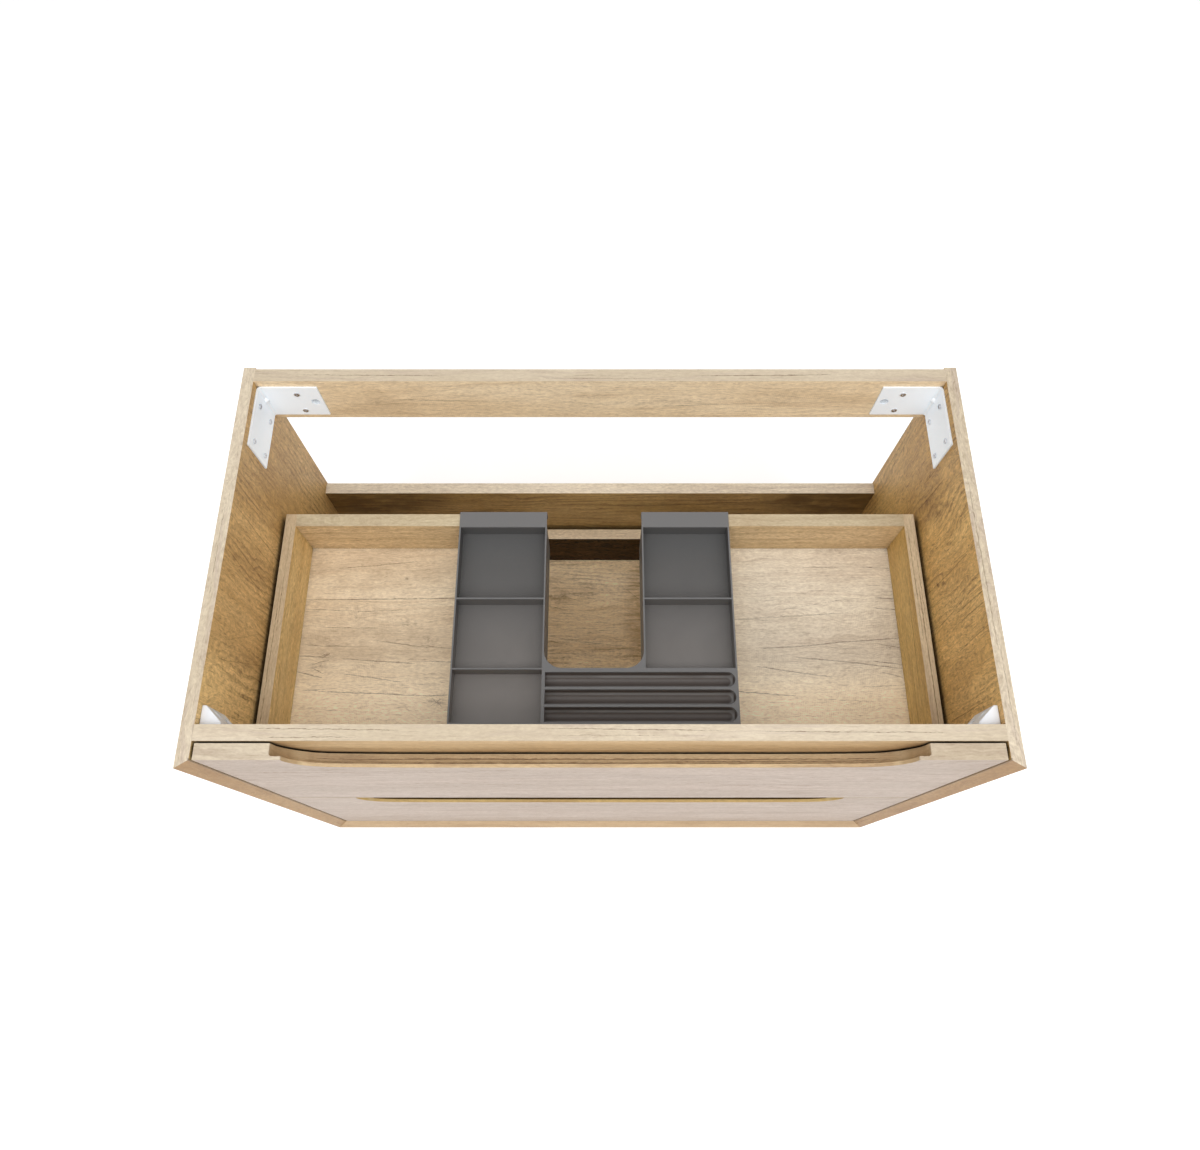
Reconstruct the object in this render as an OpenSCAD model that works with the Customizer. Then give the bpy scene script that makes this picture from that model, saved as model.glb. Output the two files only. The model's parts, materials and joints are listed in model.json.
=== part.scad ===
// Wall-hung vanity base for one basin, with two drawers.
// X to the right, +Y towards the wall, +Z up; the origin is the centre
// of the underside, so the wall plane is Y = body_d / 2.

/* [Carcass] */
// Overall width across the side panels
body_w = 800; // [780:10:900]
// Overall depth, from the front edges to the wall
body_d = 448; // [446:2:480]
// Overall height
body_h = 540; // [540:5:580]
// Thickness of the side panels and of the bottom panel
panel_t = 13; // [13:0.5:16]
// Depth of the bevel along the front edges
bevel_d = 8; // [5:0.5:10]
// Thickness of the rails, the back panel and the drawer fronts
board_t = 16; // [16:0.5:18]
// Height of the front and the back top rail
rail_h = 72; // [72:2:84]
// Distance of the back boards from the wall plane
back_inset = 2; // [0:0.5:8]
// Height of the upper edge of the lower back panel
back_panel_top = 276; // [260:2:290]

/* [Drawer fronts] */
// Gap between a drawer front and a side panel
front_side_gap = 2.5; // [1.5:0.5:4]
// Gap between the two drawer fronts
front_gap = 3; // [2:0.5:5]
// Gap above the bottom panel
front_low_gap = 2.5; // [1.5:0.5:4]
// Distance of the upper front from the top plane
front_top_gap = 1; // [0.5:0.5:3]
// Gap between the drawer fronts and the front rail
front_back_gap = 2; // [2:0.5:4]
// Thickness of the grip lip left at the face of a front
lip_t = 3.7; // [3.5:0.1:6]
// Radius of the routed corner behind the grip lip
pocket_r = 3; // [1:0.5:3]

/* [Drawer boxes] */
// Clearance between a drawer box and a side panel
box_gap = 5; // [5:0.5:7]
// Thickness of the drawer side walls
wall_t = 13; // [13:0.5:16]
// Thickness of the drawer floors
floor_t = 12; // [10:0.5:12]
// Height of the upper face of the upper drawer floor
upper_floor_z = 344; // [340:1:350]
// Height of the top of the upper drawer walls
upper_wall_z = 410; // [405:1:415]
// Length of the upper drawer box behind its front
upper_len = 306; // [306:1:320]
// Height of the upper face of the lower drawer floor
lower_floor_z = 92; // [90:1:100]
// Height of the top of the lower drawer walls
lower_wall_z = 172; // [165:1:240]
// Length of the lower drawer box behind its front
lower_len = 399.5; // [390:0.5:399.5]
// Width of the cut-out for the waste trap
trap_w = 124; // [122:1:130]
// Depth of the cut-out, measured from the rear of the upper drawer
trap_d = 202; // [196:1:204]

/* [Organiser tray] */
// Width of the tray
tray_w = 326; // [326:2:340]
// Sideways place of the tray's centre and of the trap cut-out
tray_off = -7; // [-12:1:0]
// Depth of the open cells
cell_d = 20; // [16:1:30]
// Wall thickness of the tray
tray_t = 1.8; // [1.5:0.1:2.2]

/* [Runners and fixings] */
// Length of the upper runners
upper_run = 300; // [290:5:300]
// Length of the lower runners
lower_run = 400; // [380:5:400]
// Sheet thickness of the runner profiles
steel_t = 1.5; // [1.2:0.1:1.6]
// Radius of the wall fixing holes
wall_hole_r = 5; // [4:0.5:6]
// Distance between the two wall fixing holes
wall_hole_span = 657; // [650:1:660]
// Height of the wall fixing holes
wall_hole_z = 503; // [498:1:506]

/* [Hidden] */
$fn = 48;
hx = body_w / 2;
ix = hx - panel_t;                      // inner face of a side panel
yf = -body_d / 2;
yr = body_d / 2;
face_y = yf + bevel_d;                  // face plane of the drawer fronts
fb_y = face_y + board_t;                // rear face of the drawer fronts
rail_y = fb_y + front_back_gap;         // front rail: front face
rail_r = rail_y + board_t;              // front rail: rear face
bk_y = yr - back_inset - board_t;       // back boards: inner face
bk_m = bk_y + board_t / 2;
rz = body_h - rail_h;
fx = ix - front_side_gap;               // half width of a drawer front
f_z0 = panel_t + front_low_gap;
f_z3 = body_h - front_top_gap;
f_h = (f_z3 - f_z0 - front_gap) / 2;
f_z1 = f_z0 + f_h;
f_z2 = f_z1 + front_gap;
dx = ix - box_gap;                      // half width of a drawer box
wx = dx - wall_t;                       // its inner half width
up_z = upper_floor_z - floor_t - 13;    // lower edges of the side walls
lo_z = lower_floor_z - floor_t - 13;
up_r = fb_y + upper_len;
lo_r = fb_y + lower_len;
e = 0.05;                               // fit of a fixing in its hole
br_z = body_h - 63;                     // rear corner brackets
br_h = 53;
br_t = 2;
br_side = 75;
br_back = 67.5;
cb_z = body_h - 53;                     // front corner blocks
cb_h = 44;
cb_l = 21;
rim_z = upper_wall_z + 2;
t_x0 = tray_off - tray_w / 2;
t_x1 = tray_off + tray_w / 2;
u_x0 = tray_off - 57.3;
u_x1 = tray_off + 57.3;
t_y0 = yf + 70;
t_y1 = up_r - board_t - 0.4;
div1 = yf + 219.6;
div2 = yf + 134;
slot_y = [yf + 121.5, yf + 101.2, yf + 81.1];
slot_r = 8.6;
oak = [0.80, 0.68, 0.50];
oak_in = [0.72, 0.57, 0.38];
oak_front = [0.84, 0.76, 0.68];
zinc = [0.75, 0.76, 0.78];
white = [0.94, 0.94, 0.93];

// Rim of the grip recess in a front: distance from the middle and depth
lip_pts = [[301.6, 0], [299.5, 12], [293, 24], [283, 33], [268, 38], [248, 40], [210, 41.4], [177, 42]];
pocket_pts = [[313, 0], [311, 17], [303, 32], [292, 43], [278, 50.5], [255, 53.5], [215, 55.4], [177, 56]];
function cat(a, b, c, d, t) = 0.5 * ((2 * b) + (c - a) * t + (2 * a - 5 * b + 4 * c - d) * t * t + (3 * b - a - 3 * c + d) * t * t * t);
function smooth(p, n = 4) = let (m = len(p) - 1) concat([for (i = [0 : m - 1], k = [0 : n - 1])
    cat(p[max(i - 1, 0)], p[i], p[i + 1], p[min(i + 2, m)], k / n)], [p[m]]);
function both(p) = concat(p, [for (i = [len(p) - 1 : -1 : 0]) [-p[i][0], p[i][1]]]);

// ---- helpers ----
module xcyl(x0, x1, y, z, r) { translate([min(x0, x1), y, z]) rotate([0, 90, 0]) cylinder(h = abs(x1 - x0), r = r); }
module ycyl(y0, y1, x, z, r) { translate([x, max(y0, y1), z]) rotate([90, 0, 0]) cylinder(h = abs(y1 - y0), r = r); }
module zcyl(z0, z1, x, y, r) { translate([x, y, z0]) cylinder(h = z1 - z0, r = r); }
module slab(x0, x1, y0, y1, z0, z1) { translate([x0, y0, z0]) cube([x1 - x0, y1 - y0, z1 - z0]); }
module along_y(y0, y1) { translate([0, y1, 0]) rotate([90, 0, 0]) linear_extrude(y1 - y0) children(); }
module along_x(x0, x1) { translate([x0, 0, 0]) rotate([90, 0, 90]) linear_extrude(x1 - x0) children(); }
module flip() { mirror([1, 0, 0]) children(); }
module pair() { children(); flip() children(); }

// ---- places of the fixings, right-hand side ----
front_dowel_z = [body_h - 58, body_h - 16];
back_dowel_z = [body_h - 60, body_h - 14];
panel_dowel_z = [60, 150, 240];
panel_dowel_x = [-250, 0, 250];
br_y = [bk_y - 18.5, bk_y - 63.5];
br_sz = [br_z + 9.5, br_z + 41];
br_x = 345.5;
up_screw_y = [-180, -60, 70];
lo_screw_y = [-180, -20, 160];

module side_panel() {
    difference() {
        linear_extrude(body_h) polygon([[ix, face_y], [hx, yf], [hx, yr], [ix, yr]]);
        along_y(yf - 1, yr + 1) polygon([[ix - 1, panel_t + 1], [hx + 1, -1], [ix - 1, -1]]);
        for (z = front_dowel_z) xcyl(ix - 1, ix + 9.5, (rail_y + rail_r) / 2, z, 4 + e);
        for (z = back_dowel_z) xcyl(ix - 1, ix + 9.5, bk_m, z, 4 + e);
        for (z = panel_dowel_z) xcyl(ix - 1, ix + 9.5, bk_m, z, 4 + e);
        for (y = br_y, z = br_sz) xcyl(ix - 1, ix + 10.5, y, z, 2 + e);
        xcyl(ix - 1, ix + 10.5, rail_r + 10, cb_z + 13, 1.8 + e);
        for (y = up_screw_y) xcyl(ix - 1, ix + 10.5, y, up_z + 1, 2 + e);
        for (y = lo_screw_y) xcyl(ix - 1, ix + 10.5, y, lo_z + 1, 2 + e);
    }
}
module side_panel_right() { color(oak) side_panel(); }
module side_panel_left() { color(oak) flip() side_panel(); }

module bottom_panel() {
    k = bevel_d / panel_t;
    color(oak) difference() {
        along_y(yf, yr) polygon([[-hx, 0], [hx, 0], [ix, panel_t], [-ix, panel_t]]);
        along_x(-hx - 1, hx + 1) polygon([[yf - k, -1], [face_y + k, panel_t + 1], [yf - 20, panel_t + 1], [yf - 20, -1]]);
        for (x = panel_dowel_x) zcyl(4, panel_t + 1, x, bk_m, 4 + e);
    }
}

module front_top_rail() {
    color(oak) difference() {
        slab(-ix, ix, rail_y, rail_r, rz, body_h);
        pair() for (z = front_dowel_z) xcyl(ix - 21.5, ix + 1, (rail_y + rail_r) / 2, z, 4 + e);
        pair() ycyl(rail_r - 12, rail_r + 1, ix - 10, cb_z + 31, 1.8 + e);
    }
}

module back_top_rail() {
    color(oak) difference() {
        slab(-ix, ix, bk_y, bk_y + board_t, rz, body_h);
        pair() for (z = back_dowel_z) xcyl(ix - 21.5, ix + 1, bk_m, z, 4 + e);
        pair() ycyl(bk_y - 1, bk_y + board_t + 1, wall_hole_span / 2, wall_hole_z, wall_hole_r + 1.2 + e);
        pair() for (z = br_sz) ycyl(bk_y - 1, bk_y + 12.5, br_x, z, 2 + e);
    }
}

module lower_back_panel() {
    color(oak_in) difference() {
        slab(-ix, ix, bk_y, bk_y + board_t, panel_t, back_panel_top);
        pair() for (z = panel_dowel_z) xcyl(ix - 21.5, ix + 1, bk_m, z, 4 + e);
        for (x = panel_dowel_x) zcyl(panel_t - 1, panel_t + 21.5, x, bk_m, 4 + e);
    }
}

module carcass_dowels() {
    color([0.86, 0.74, 0.54]) {
        pair() for (z = front_dowel_z) xcyl(ix - 21, ix + 9, (rail_y + rail_r) / 2, z, 4);
        pair() for (z = back_dowel_z) xcyl(ix - 21, ix + 9, bk_m, z, 4);
        pair() for (z = panel_dowel_z) xcyl(ix - 21, ix + 9, bk_m, z, 4);
        for (x = panel_dowel_x) zcyl(4.5, panel_t + 21, x, bk_m, 4);
    }
}

// ---- rear corner bracket: bent steel plate, screwed to panel and rail ----
module bracket_plan() {
    ri = 2.5;
    difference() {
        union() {
            translate([ix - br_t, bk_y - br_side]) square([br_t, br_side]);
            translate([ix - br_back, bk_y - br_t]) square([br_back, br_t]);
            translate([ix - br_t - ri, bk_y - br_t - ri]) square([ri + 0.1, ri + 0.1]);
        }
        translate([ix - br_t - ri, bk_y - br_t - ri]) circle(r = ri);
        translate([ix - ri - 2, bk_y - ri - 2]) difference() {
            square([ri + 3, ri + 3]);
            circle(r = ri + 2);
        }
    }
}
module bracket() {
    difference() {
        union() {
            translate([0, 0, br_z]) linear_extrude(br_h) bracket_plan();
            // collar of the wall fixing hole, drawn into the rail
            ycyl(bk_y - 1, bk_y + 9, wall_hole_span / 2, wall_hole_z, wall_hole_r + 1.2);
            // pressed gusset across the bend
            intersection() {
                translate([ix - 1, bk_y - 1, br_z + br_h / 2 + 3]) sphere(r = 4.8);
                slab(ix - 20, ix - 1, bk_y - 20, bk_y - 1, br_z, br_z + br_h);
            }
        }
        for (y = br_y, z = br_sz) xcyl(ix - 6, ix + 1, y, z, 2.3);
        for (z = br_sz) ycyl(bk_y - 6, bk_y + 1, br_x, z, 2.3);
        ycyl(bk_y - 6, bk_y + 10, wall_hole_span / 2, wall_hole_z, wall_hole_r);
    }
}
module rear_bracket_right() { color(white) bracket(); }
module rear_bracket_left() { color(white) flip() bracket(); }

// pan-head screw along +Z, its head's seat at z = 0, the shank below
module screw(l, r, hr, hh) {
    difference() {
        union() {
            cylinder(h = hh, r = hr);
            translate([0, 0, -l]) cylinder(h = l + 0.2, r = r);
        }
        for (a = [0, 90]) rotate([0, 0, a]) translate([-hr * 0.55, -0.5, hh - 1]) cube([hr * 1.1, 1, 2]);
    }
}
module rear_bracket_screws() {
    color(zinc) pair() {
        for (y = br_y, z = br_sz) translate([ix - br_t, y, z]) rotate([0, -90, 0]) screw(12, 2, 3.1, 1.2);
        for (z = br_sz) translate([br_x, bk_y - br_t, z]) rotate([90, 0, 0]) screw(14, 2, 3.1, 1.2);
    }
}

// ---- front corner block ----
module block() {
    y0 = rail_r;
    difference() {
        translate([0, 0, cb_z]) linear_extrude(cb_h)
            polygon([[ix, y0], [ix, y0 + cb_l], [ix - 4, y0 + cb_l], [ix - cb_l, y0 + 4], [ix - cb_l, y0]]);
        xcyl(ix - 6, ix - 30, y0 + 10, cb_z + 13, 4.4);
        xcyl(ix - 8, ix + 1, y0 + 10, cb_z + 13, 2);
        ycyl(y0 + 6, y0 + 30, ix - 10, cb_z + 31, 4.4);
        ycyl(y0 - 1, y0 + 8, ix - 10, cb_z + 31, 2);
    }
}
module corner_block_right() { color(white) block(); }
module corner_block_left() { color(white) flip() block(); }
module corner_block_screws() {
    color(zinc) pair() {
        translate([ix - 6, rail_r + 10, cb_z + 13]) rotate([0, -90, 0]) screw(16, 1.8, 3.6, 2);
        translate([ix - 10, rail_r + 6, cb_z + 31]) rotate([-90, 0, 0]) screw(17, 1.8, 3.6, 2);
    }
}
module front_buffers() {
    color([0.9, 0.9, 0.88]) pair() ycyl(rail_y - 1.5, rail_y, ix - 26, body_h - 22, 4.5);
}

// ---- drawer front with a routed grip recess along its upper edge ----
module pocket_plan(z1, inset) {
    translate([0, z1]) offset(delta = -inset)
        polygon([for (p = concat([[313, -9]], both(smooth(pocket_pts)), [[-313, -9]])) [p[0], -p[1]]]);
}
module drawer_front(z0, z1, cams) {
    difference() {
        slab(-fx, fx, face_y, fb_y, z0, z1);
        along_y(face_y - 1, face_y + lip_t + 0.01) translate([0, z1])
            polygon([for (p = concat([[301.6, -5]], both(smooth(lip_pts)), [[-301.6, -5]])) [p[0], -p[1]]]);
        // pocket behind the lip, its corner rounded by the cutter
        hull() {
            along_y(face_y + lip_t + pocket_r, fb_y + 1) pocket_plan(z1, 0);
            for (a = [0 : 22.5 : 67.5]) let (s = pocket_r * (1 - cos(a)))
                along_y(face_y + lip_t + s, face_y + lip_t + s + 0.02) pocket_plan(z1, pocket_r * (1 - sin(a)));
        }
        pair() for (z = cams) ycyl(fb_y - 11.5, fb_y + 1, dx - wall_t / 2, z, 3 + e);
    }
}
up_cam_z = [up_z + 30, up_z + 72];
lo_cam_z = [lo_z + 30, lo_z + 82];
module upper_front() { color(oak_front) drawer_front(f_z2, f_z3, up_cam_z); }
module lower_front() { color(oak_front) drawer_front(f_z0, f_z1, lo_cam_z); }

// ---- drawer box ----
module side_wall(z0, z1, r, cams, dow_y, fl_z, back_z) {
    difference() {
        slab(wx, dx, fb_y, r, z0, z1);
        for (z = cams) {
            xcyl(dx - 10, dx + 1, fb_y + 34, z, 7.5 + e);
            ycyl(fb_y - 1, fb_y + 30, dx - wall_t / 2, z, 3 + e);
        }
        for (y = dow_y) xcyl(wx - 1, wx + 9.5, y, fl_z - floor_t / 2, 3 + e);
        for (z = back_z) xcyl(wx - 1, wx + 9.5, r - board_t / 2, z, 3 + e);
    }
}
up_dow_y = [-145, -50, 45];
lo_dow_y = [-145, -10, 125];
up_back_z = [upper_floor_z + 16, upper_floor_z + 50];
lo_back_z = [lower_floor_z + 16, lower_floor_z + 60];
module upper_side_right() { color(oak_in) side_wall(up_z, upper_wall_z, up_r, up_cam_z, up_dow_y, upper_floor_z, up_back_z); }
module upper_side_left() { color(oak_in) flip() side_wall(up_z, upper_wall_z, up_r, up_cam_z, up_dow_y, upper_floor_z, up_back_z); }
module lower_side_right() { color(oak_in) side_wall(lo_z, lower_wall_z, lo_r, lo_cam_z, lo_dow_y, lower_floor_z, lo_back_z); }
module lower_side_left() { color(oak_in) flip() side_wall(lo_z, lower_wall_z, lo_r, lo_cam_z, lo_dow_y, lower_floor_z, lo_back_z); }

// half of the back wall, from the cut-out's edge (given as seen on the right) to the side wall
module back_half(x0) {
    difference() {
        slab(x0, wx, up_r - board_t, up_r, upper_floor_z, upper_wall_z);
        for (z = up_back_z) xcyl(wx - 15.5, wx + 1, up_r - board_t / 2, z, 3 + e);
    }
}
module upper_back_right() { color(oak_in) back_half(trap_w / 2 + tray_off); }
module upper_back_left() { color(oak_in) flip() back_half(trap_w / 2 - tray_off); }
module lower_back() {
    color(oak_in) difference() {
        slab(-wx, wx, lo_r - board_t, lo_r, lower_floor_z, lower_wall_z);
        pair() for (z = lo_back_z) xcyl(wx - 15.5, wx + 1, lo_r - board_t / 2, z, 3 + e);
    }
}
module upper_floor() {
    r = 30;
    color(oak_in) difference() {
        slab(-wx, wx, fb_y, up_r, upper_floor_z - floor_t, upper_floor_z);
        translate([tray_off, 0, upper_floor_z - floor_t - 1]) linear_extrude(floor_t + 2) {
            translate([-trap_w / 2, up_r - trap_d + r]) square([trap_w, trap_d - r + 1]);
            translate([-trap_w / 2 + r, up_r - trap_d]) square([trap_w - 2 * r, r + 1]);
            for (s = [-1, 1]) translate([s * (trap_w / 2 - r), up_r - trap_d + r]) circle(r = r);
        }
        pair() for (y = up_dow_y) xcyl(wx - 15.5, wx + 1, y, upper_floor_z - floor_t / 2, 3 + e);
    }
}
module lower_floor() {
    color(oak_in) difference() {
        slab(-wx, wx, fb_y, lo_r, lower_floor_z - floor_t, lower_floor_z);
        pair() for (y = lo_dow_y) xcyl(wx - 15.5, wx + 1, y, lower_floor_z - floor_t / 2, 3 + e);
    }
}
module box_dowels(dow_y, fl_z, back_z, r) {
    pair() {
        for (y = dow_y) xcyl(wx - 15, wx + 9, y, fl_z - floor_t / 2, 3);
        for (z = back_z) xcyl(wx - 15, wx + 9, r - board_t / 2, z, 3);
    }
}
module upper_dowels() { color([0.86, 0.74, 0.54]) box_dowels(up_dow_y, upper_floor_z, up_back_z, up_r); }
module lower_dowels() { color([0.86, 0.74, 0.54]) box_dowels(lo_dow_y, lower_floor_z, lo_back_z, lo_r); }
module cam_set(cams) {
    pair() for (z = cams) difference() {
        xcyl(dx - 9.8, dx - 0.3, fb_y + 34, z, 7.5);
        for (a = [0, 90]) translate([dx - 2, fb_y + 34, z]) rotate([a, 0, 0]) translate([0, -4, -0.6]) cube([3, 8, 1.2]);
    }
}
module bolt_set(cams) { pair() for (z = cams) ycyl(fb_y - 11, fb_y + 26.3, dx - wall_t / 2, z, 3); }
module upper_front_cams() { color(zinc) cam_set(up_cam_z); }
module lower_front_cams() { color(zinc) cam_set(lo_cam_z); }
module upper_front_bolts() { color(zinc) bolt_set(up_cam_z); }
module lower_front_bolts() { color(zinc) bolt_set(lo_cam_z); }

// ---- organiser tray, hooked over the back wall ----
module u_plan(r) {
    translate([u_x0, div2 + 0.9 + r]) square([u_x1 - u_x0, 200]);
    translate([u_x0 + r, div2 + 0.9]) square([u_x1 - u_x0 - 2 * r, r + 1]);
    if (r > 1) for (x = [u_x0 + r, u_x1 - r]) translate([x, div2 + 0.9 + r]) circle(r = r);
}
module organiser_tray() {
    t = tray_t;
    z0 = upper_floor_z + 0.5;
    fz = rim_z - cell_d;
    color([0.40, 0.39, 0.38]) difference() {
        union() {
            slab(t_x0, t_x1, t_y0, t_y1, z0, rim_z);
            // hook over the back wall
            for (x = [[t_x0, u_x0], [u_x1, t_x1]]) {
                slab(x[0], x[1], t_y1 - 1, up_r + 2, upper_wall_z, rim_z);
                slab(x[0], x[1], up_r + 0.2, up_r + 2, upper_wall_z - 14, rim_z);
            }
        }
        // open cells
        for (y = [[div1 + t / 2, t_y1 - t], [div2 + t / 2, div1 - t / 2], [t_y0 + t, div2 - t / 2]])
            slab(t_x0 + t, u_x0 - t, y[0], y[1], fz, rim_z + 1);
        for (y = [[div1 + t / 2, t_y1 - t], [div2 + t / 2, div1 - t / 2]])
            slab(u_x1 + t, t_x1 - t, y[0], y[1], fz, rim_z + 1);
        // pen troughs, closed by a ball end on the right
        for (y = slot_y) {
            xcyl(u_x0 + 2, t_x1 - slot_r - 3, y, rim_z - 4, slot_r);
            translate([t_x1 - slot_r - 3, y, rim_z - 4]) sphere(r = slot_r);
            slab(u_x0 + 2, t_x1 - slot_r - 3, y - slot_r, y + slot_r, rim_z - 4, rim_z + 1);
            zcyl(rim_z - 4, rim_z + 1, t_x1 - slot_r - 3, y, slot_r);
        }
        // opening for the trap, its corners webbed at rim level only
        translate([0, 0, z0 - 1]) linear_extrude(rim_z - 2 - z0 + 1) u_plan(0.5);
        translate([0, 0, rim_z - 3]) linear_extrude(5) u_plan(21);
        // hollow underside
        slab(t_x0 + t, u_x0 - t, t_y0 + t, t_y1 - t, z0 - 1, fz - 2);
        slab(u_x1 + t, t_x1 - t, div2 + t, t_y1 - t, z0 - 1, fz - 2);
        slab(u_x0, t_x1 - t, t_y0 + t, div2 - t, z0 - 1, rim_z - slot_r - 6);
    }
}

// ---- concealed runners ----
module runner(z0, l, screw_y) {
    y0 = fb_y + 4;
    difference() {
        union() {
            slab(ix - steel_t, ix, y0, y0 + l, z0 - 20, z0 + 10);
            slab(ix - 47, ix, y0, y0 + l, z0 - 20, z0 - 20 + steel_t);
            slab(ix - 47, ix - 47 + steel_t, y0, y0 + l, z0 - 20, z0 - 11);
        }
        for (y = screw_y) xcyl(ix - 3, ix + 1, y, z0 + 1, 2.2);
    }
}
module centre(z0, l) {
    y0 = fb_y + 6;
    slab(ix - 38, ix - 24.5, y0, y0 + l, z0 - 10, z0 - 10 + steel_t);
    slab(ix - 38, ix - 24.5, y0, y0 + l, z0 + 3 - steel_t, z0 + 3);
    slab(ix - 24.5 - steel_t, ix - 24.5, y0, y0 + l, z0 - 10, z0 + 3);
}
module cage(z, y0, l) {
    slab(ix - 37, ix - 25, y0, y0 + l, z - 2.5, z + 2.5);
    for (k = [0 : 3]) xcyl(ix - 36, ix - 26, y0 + 8 + k * (l - 16) / 3, z, 4);
}
module cages(z0, l) {
    cage(z0 + 7, fb_y + 14, l * 0.40);
    cage(z0 - 14, fb_y + 10 + l * 0.54, l * 0.40);
}
module box_rail(z0, l) {
    y0 = fb_y + 2;
    slab(ix - 43, ix - 19, y0, y0 + l, z0 + 13 - steel_t, z0 + 13);
    slab(ix - 43, ix - 43 + steel_t, y0, y0 + l, z0 - 13, z0 + 13);
    slab(ix - 19 - steel_t, ix - 19, y0, y0 + l, z0 - 13, z0 + 13);
}
// release catch under the front of a drawer floor
module catch(z0) {
    difference() {
        slab(ix - 70, ix - 44, fb_y + 2, fb_y + 58, z0 - 1, z0 + 13);
        slab(ix - 66, ix - 48, fb_y + 10, fb_y + 50, z0 - 2, z0 + 8);
    }
    slab(ix - 60, ix - 54, fb_y + 9, fb_y + 40, z0 - 4, z0 + 2);
}
module screws_at(z0, ys) {
    pair() for (y = ys) translate([ix - steel_t, y, z0 + 1]) rotate([0, -90, 0]) screw(11.5, 2, 4, 1.6);
}
module upper_runner_right() { color(zinc) runner(up_z, upper_run, up_screw_y); }
module upper_runner_left() { color(zinc) flip() runner(up_z, upper_run, up_screw_y); }
module upper_centre_right() { color(zinc) centre(up_z, upper_run - 20); }
module upper_centre_left() { color(zinc) flip() centre(up_z, upper_run - 20); }
module upper_cages_right() { color([0.85, 0.85, 0.82]) cages(up_z, upper_run - 20); }
module upper_cages_left() { color([0.85, 0.85, 0.82]) flip() cages(up_z, upper_run - 20); }
module upper_box_rail_right() { color(zinc) box_rail(up_z, upper_run - 4); }
module upper_box_rail_left() { color(zinc) flip() box_rail(up_z, upper_run - 4); }
module upper_catches() { color([0.45, 0.46, 0.48]) pair() catch(up_z); }
module upper_runner_screws() { color(zinc) screws_at(up_z, up_screw_y); }
module lower_runner_right() { color(zinc) runner(lo_z, lower_run, lo_screw_y); }
module lower_runner_left() { color(zinc) flip() runner(lo_z, lower_run, lo_screw_y); }
module lower_centre_right() { color(zinc) centre(lo_z, lower_run - 20); }
module lower_centre_left() { color(zinc) flip() centre(lo_z, lower_run - 20); }
module lower_cages_right() { color([0.85, 0.85, 0.82]) cages(lo_z, lower_run - 20); }
module lower_cages_left() { color([0.85, 0.85, 0.82]) flip() cages(lo_z, lower_run - 20); }
module lower_box_rail_right() { color(zinc) box_rail(lo_z, lower_run - 6); }
module lower_box_rail_left() { color(zinc) flip() box_rail(lo_z, lower_run - 6); }
module lower_catches() { color([0.45, 0.46, 0.48]) pair() catch(lo_z); }
module lower_runner_screws() { color(zinc) screws_at(lo_z, lo_screw_y); }

side_panel_left();
side_panel_right();
bottom_panel();
front_top_rail();
back_top_rail();
lower_back_panel();
carcass_dowels();
rear_bracket_left();
rear_bracket_right();
rear_bracket_screws();
corner_block_left();
corner_block_right();
corner_block_screws();
front_buffers();
upper_front();
upper_side_left();
upper_side_right();
upper_back_left();
upper_back_right();
upper_floor();
upper_dowels();
upper_front_cams();
upper_front_bolts();
organiser_tray();
upper_box_rail_left();
upper_box_rail_right();
upper_catches();
upper_runner_left();
upper_runner_right();
upper_centre_left();
upper_centre_right();
upper_cages_left();
upper_cages_right();
upper_runner_screws();
lower_front();
lower_side_left();
lower_side_right();
lower_back();
lower_floor();
lower_dowels();
lower_front_cams();
lower_front_bolts();
lower_box_rail_left();
lower_box_rail_right();
lower_catches();
lower_runner_left();
lower_runner_right();
lower_centre_left();
lower_centre_right();
lower_cages_left();
lower_cages_right();
lower_runner_screws();
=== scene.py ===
"""Looks of the single basin vanity: light oak decor boards, white fittings, grey moulded tray."""
import json
import math

import bmesh
import bpy
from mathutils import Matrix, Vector

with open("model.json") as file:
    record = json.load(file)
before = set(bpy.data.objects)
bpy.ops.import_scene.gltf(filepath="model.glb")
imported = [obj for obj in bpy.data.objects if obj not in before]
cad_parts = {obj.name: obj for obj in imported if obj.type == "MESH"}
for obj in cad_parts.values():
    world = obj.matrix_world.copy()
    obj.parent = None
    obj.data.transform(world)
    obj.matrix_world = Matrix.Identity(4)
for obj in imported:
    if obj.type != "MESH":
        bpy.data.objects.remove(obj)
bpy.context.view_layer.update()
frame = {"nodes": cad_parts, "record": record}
NODES = frame["nodes"]

# ---------------------------------------------------------------- camera

cam_data = bpy.data.cameras.new("camera")
cam_data.sensor_fit = "HORIZONTAL"
cam_data.sensor_width = 36.0
cam_data.lens = 25.24
cam_data.shift_y = 0.0233
cam_data.clip_start = 0.02
cam_data.clip_end = 60.0
camera = bpy.data.objects.new("camera", cam_data)
camera.location = (0.0, -0.3563, 1.332)
camera.rotation_euler = (math.radians(90.0 - 69.39), 0.0, 0.0)
bpy.context.scene.collection.objects.link(camera)
bpy.context.scene.camera = camera

# ---------------------------------------------------------------- shader helpers


def lin(r, g, b):
    """An sRGB colour, 0 to 255, as the linear colour that a shader socket takes."""
    out = []
    for c in (r, g, b):
        c = c / 255.0
        out.append(c / 12.92 if c <= 0.04045 else ((c + 0.055) / 1.055) ** 2.4)
    return tuple(out) + (1.0,)


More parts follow.
